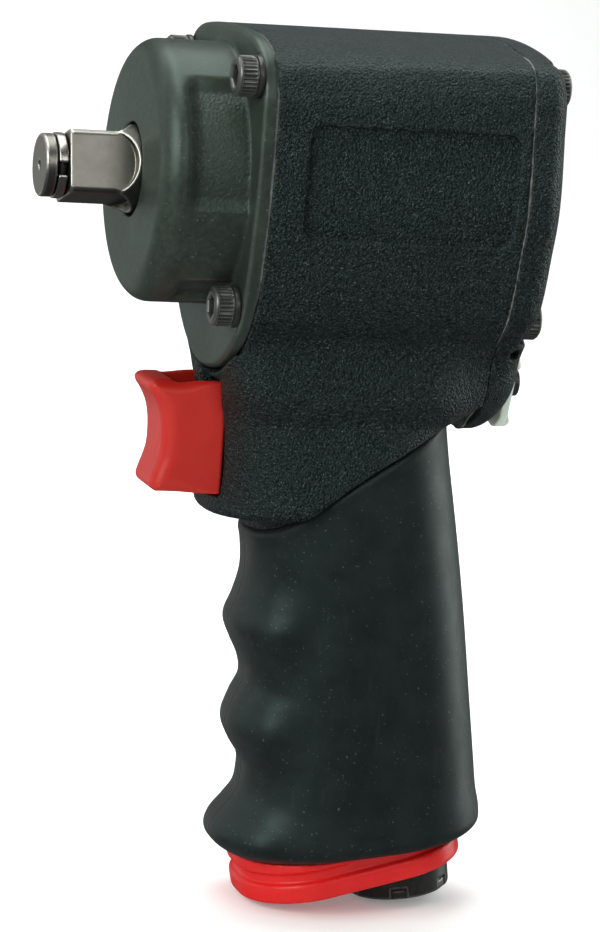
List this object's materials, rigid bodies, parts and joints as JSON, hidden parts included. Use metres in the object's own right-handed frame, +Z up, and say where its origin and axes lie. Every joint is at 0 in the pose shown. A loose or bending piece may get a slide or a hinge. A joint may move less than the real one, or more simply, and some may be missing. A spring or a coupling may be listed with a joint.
{
  "type": "impact wrench",
  "caption": "Short pistol-grip air impact wrench with a half-inch square drive, finger-grooved rubber grip, trigger, reverse knob and exhaust deflector.",
  "frame": {"origin": "on the spindle axis, at the front face of the motor housing", "axes": "+X forward along the anvil, +Y the tool's left side, +Z up away from the handle"},
  "size_m": [0.103, 0.0624, 0.1786],
  "materials": {
    "housing_black": "fine wrinkle powder coat",
    "case_metal": "dark satin cast",
    "gasket": "pale fibre",
    "screw_steel": "phosphated, knurled",
    "anvil_steel": "satin heat-treated",
    "bright_steel": "ground",
    "bronze": "machined",
    "seal_rubber": "satin",
    "vane_phenolic": "phenolic",
    "knob_pale": "satin",
    "red_plastic": "satin moulded",
    "deflector_red": "satin moulded",
    "inlet_black": "black oxide",
    "grip_rubber": "matt, fine grain",
    "muffler_felt": "felt"
  },
  "bodies": {
    "housing": {"motor_housing": "housing_black", "hammer_case": "case_metal", "case_gasket": "gasket", "case_screws": "screw_steel", "case_screw_washers": "screw_steel", "rear_cover": "housing_black", "rear_gasket": "gasket", "rear_cover_screws": "screw_steel", "rear_cover_washers": "screw_steel", "anvil_bushing": "bronze", "thrust_washer": "bright_steel", "motor_cylinder": "bright_steel", "cylinder_dowel_pin": "bright_steel", "front_end_plate": "bright_steel", "rear_end_plate": "bright_steel", "front_bearing_outer_race": "bright_steel", "rear_bearing_outer_race": "bright_steel", "detent_ball": "bright_steel", "detent_spring": "bright_steel", "rod_bushing": "bronze", "rod_o_ring": "seal_rubber", "throttle_seat": "seal_rubber", "throttle_spring": "bright_steel", "inlet_screen": "bright_steel", "inlet_bushing": "inlet_black", "inlet_o_ring": "seal_rubber", "grip_sleeve": "grip_rubber", "exhaust_deflector": "deflector_red", "muffler": "muffler_felt"},
    "rotor": {"rotor": "bright_steel", "rotor_vanes": "vane_phenolic", "front_bearing_inner_race": "bright_steel", "rear_bearing_inner_race": "bright_steel", "hammer_cage": "bright_steel", "hammer_pins": "bright_steel"},
    "front_ball_set": {"front_bearing_balls": "bright_steel"},
    "rear_ball_set": {"rear_bearing_balls": "bright_steel"},
    "anvil": {"anvil": "anvil_steel", "friction_ring": "bright_steel", "friction_o_ring": "seal_rubber"},
    "dog_front": {"hammer_dog_front": "bright_steel"},
    "dog_rear": {"hammer_dog_rear": "bright_steel"},
    "trigger": {"trigger": "red_plastic", "trigger_rod": "bright_steel"},
    "throttle": {"throttle_valve": "bronze"},
    "reverse": {"reverse_valve": "bronze", "reverse_knob": "knob_pale", "knob_screw": "screw_steel"}
  },
  "joints": [
    {"name": "rotor_spin", "type": "hinge", "parent": "housing", "child": "rotor", "pos_m": [0, 0, 0], "axis": [1, 0, 0], "continuous": true},
    {"name": "anvil_spin", "type": "hinge", "parent": "housing", "child": "anvil", "pos_m": [0, 0, 0], "axis": [1, 0, 0], "continuous": true},
    {"name": "front_ball_orbit", "type": "hinge", "parent": "housing", "child": "front_ball_set", "pos_m": [0, 0, 0], "axis": [1, 0, 0], "continuous": true},
    {"name": "rear_ball_orbit", "type": "hinge", "parent": "housing", "child": "rear_ball_set", "pos_m": [0, 0, 0], "axis": [1, 0, 0], "continuous": true},
    {"name": "dog_front_rock", "type": "hinge", "parent": "rotor", "child": "dog_front", "pos_m": [0.002, 0, 0.0172], "axis": [1, 0, 0], "range_deg": [-4, 4]},
    {"name": "dog_rear_rock", "type": "hinge", "parent": "rotor", "child": "dog_rear", "pos_m": [-0.005, 0, -0.0172], "axis": [1, 0, 0], "range_deg": [-4, 4]},
    {"name": "trigger_slide", "type": "slide", "parent": "housing", "child": "trigger", "axis": [-1, 0, 0], "range_m": [0, 0.005]},
    {"name": "throttle_tilt", "type": "hinge", "parent": "housing", "child": "throttle", "pos_m": [-0.03088, 0, -0.07705], "axis": [0, -1, 0], "range_deg": [0, 10.2], "deforming": ["throttle_spring"]},
    {"name": "reverse_turn", "type": "hinge", "parent": "housing", "child": "reverse", "pos_m": [-0.045, 0, -0.04], "axis": [1, 0, 0], "range_deg": [0, 80]}
  ],
  "couplings": [
    {"joint": "anvil_spin", "follows": "rotor_spin", "ratio": 1},
    {"joint": "front_ball_orbit", "follows": "rotor_spin", "ratio": 0.3944},
    {"joint": "rear_ball_orbit", "follows": "rotor_spin", "ratio": 0.3815},
    {"joint": "throttle_tilt", "follows": "trigger_slide", "rad_per_m": 35}
  ]
}
